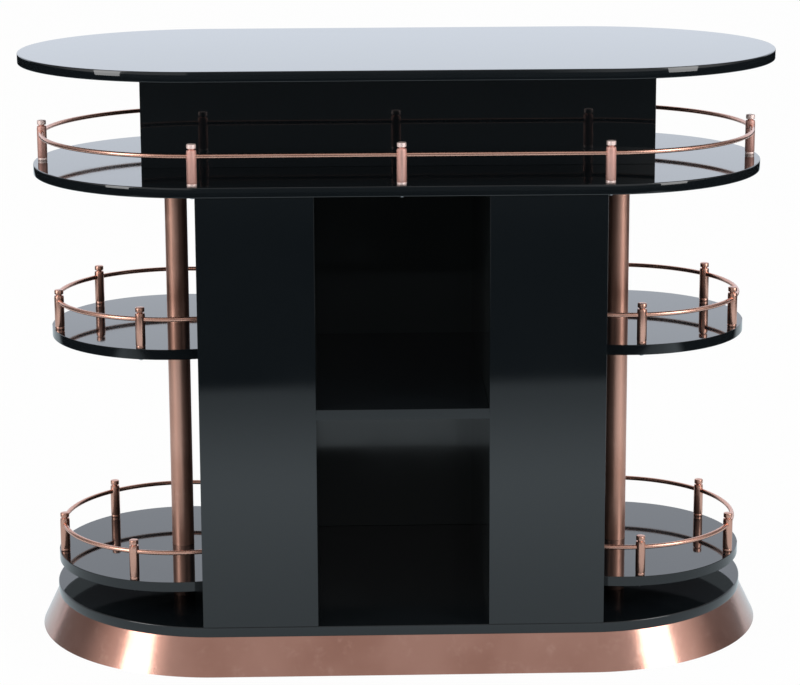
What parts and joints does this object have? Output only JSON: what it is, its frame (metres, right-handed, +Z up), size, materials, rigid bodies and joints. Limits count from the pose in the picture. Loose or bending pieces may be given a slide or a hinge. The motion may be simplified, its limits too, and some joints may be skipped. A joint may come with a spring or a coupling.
{
  "type": "bar counter",
  "caption": "Bar counter with round ends: open niche between two pillars, raised top, railed deck, railed half-round end shelves on tube poles, flared skirt.",
  "frame": {"origin": "on the floor, under the middle of the counter", "axes": "+X along the counter, -Y towards the side with the niche, +Z up"},
  "size_m": [1.34, 0.662, 1.05],
  "materials": {
    "black_lacquer": "black high-gloss lacquer on board",
    "rose_copper": "polished rose-copper plating",
    "plywood": "plain sanded wood, hidden",
    "zinc_steel": "zinc-plated steel screws",
    "glide_plastic": "moulded black glides"
  },
  "bodies": {
    "root": {"apron_back": "black_lacquer", "apron_front": "black_lacquer", "apron_left": "black_lacquer", "apron_right": "black_lacquer", "base_board": "black_lacquer", "body_back": "black_lacquer", "body_front_left": "black_lacquer", "body_front_right": "black_lacquer", "body_side_left": "black_lacquer", "body_side_right": "black_lacquer", "deck_post_left_back": "rose_copper", "deck_post_left_end": "rose_copper", "deck_post_left_front": "rose_copper", "deck_post_middle_back": "rose_copper", "deck_post_middle_front": "rose_copper", "deck_post_right_back": "rose_copper", "deck_post_right_end": "rose_copper", "deck_post_right_front": "rose_copper", "deck_rail_back": "rose_copper", "deck_rail_front": "rose_copper", "deck_rail_left": "rose_copper", "deck_rail_right": "rose_copper", "fixing_battens": "plywood", "glides": "glide_plastic", "low_post_left_back": "rose_copper", "low_post_left_end": "rose_copper", "low_post_left_front": "rose_copper", "low_post_right_back": "rose_copper", "low_post_right_end": "rose_copper", "low_post_right_front": "rose_copper", "low_rail_left": "rose_copper", "low_rail_right": "rose_copper", "low_shelf_left": "black_lacquer", "low_shelf_right": "black_lacquer", "mid_post_left_back": "rose_copper", "mid_post_left_end": "rose_copper", "mid_post_left_front": "rose_copper", "mid_post_right_back": "rose_copper", "mid_post_right_end": "rose_copper", "mid_post_right_front": "rose_copper", "mid_rail_left": "rose_copper", "mid_rail_right": "rose_copper", "mid_shelf_left": "black_lacquer", "mid_shelf_right": "black_lacquer", "niche_shelf": "black_lacquer", "niche_wall_left": "black_lacquer", "niche_wall_right": "black_lacquer", "plinth_back": "plywood", "plinth_front": "plywood", "plinth_left": "plywood", "plinth_right": "plywood", "pole_left": "rose_copper", "pole_plugs": "plywood", "pole_right": "rose_copper", "post_screws": "zinc_steel", "shelf_fixing_screws": "zinc_steel", "skirt": "rose_copper", "skirt_screws": "zinc_steel", "top_slab": "black_lacquer", "upper_deck": "black_lacquer"}
  },
  "joints": []
}
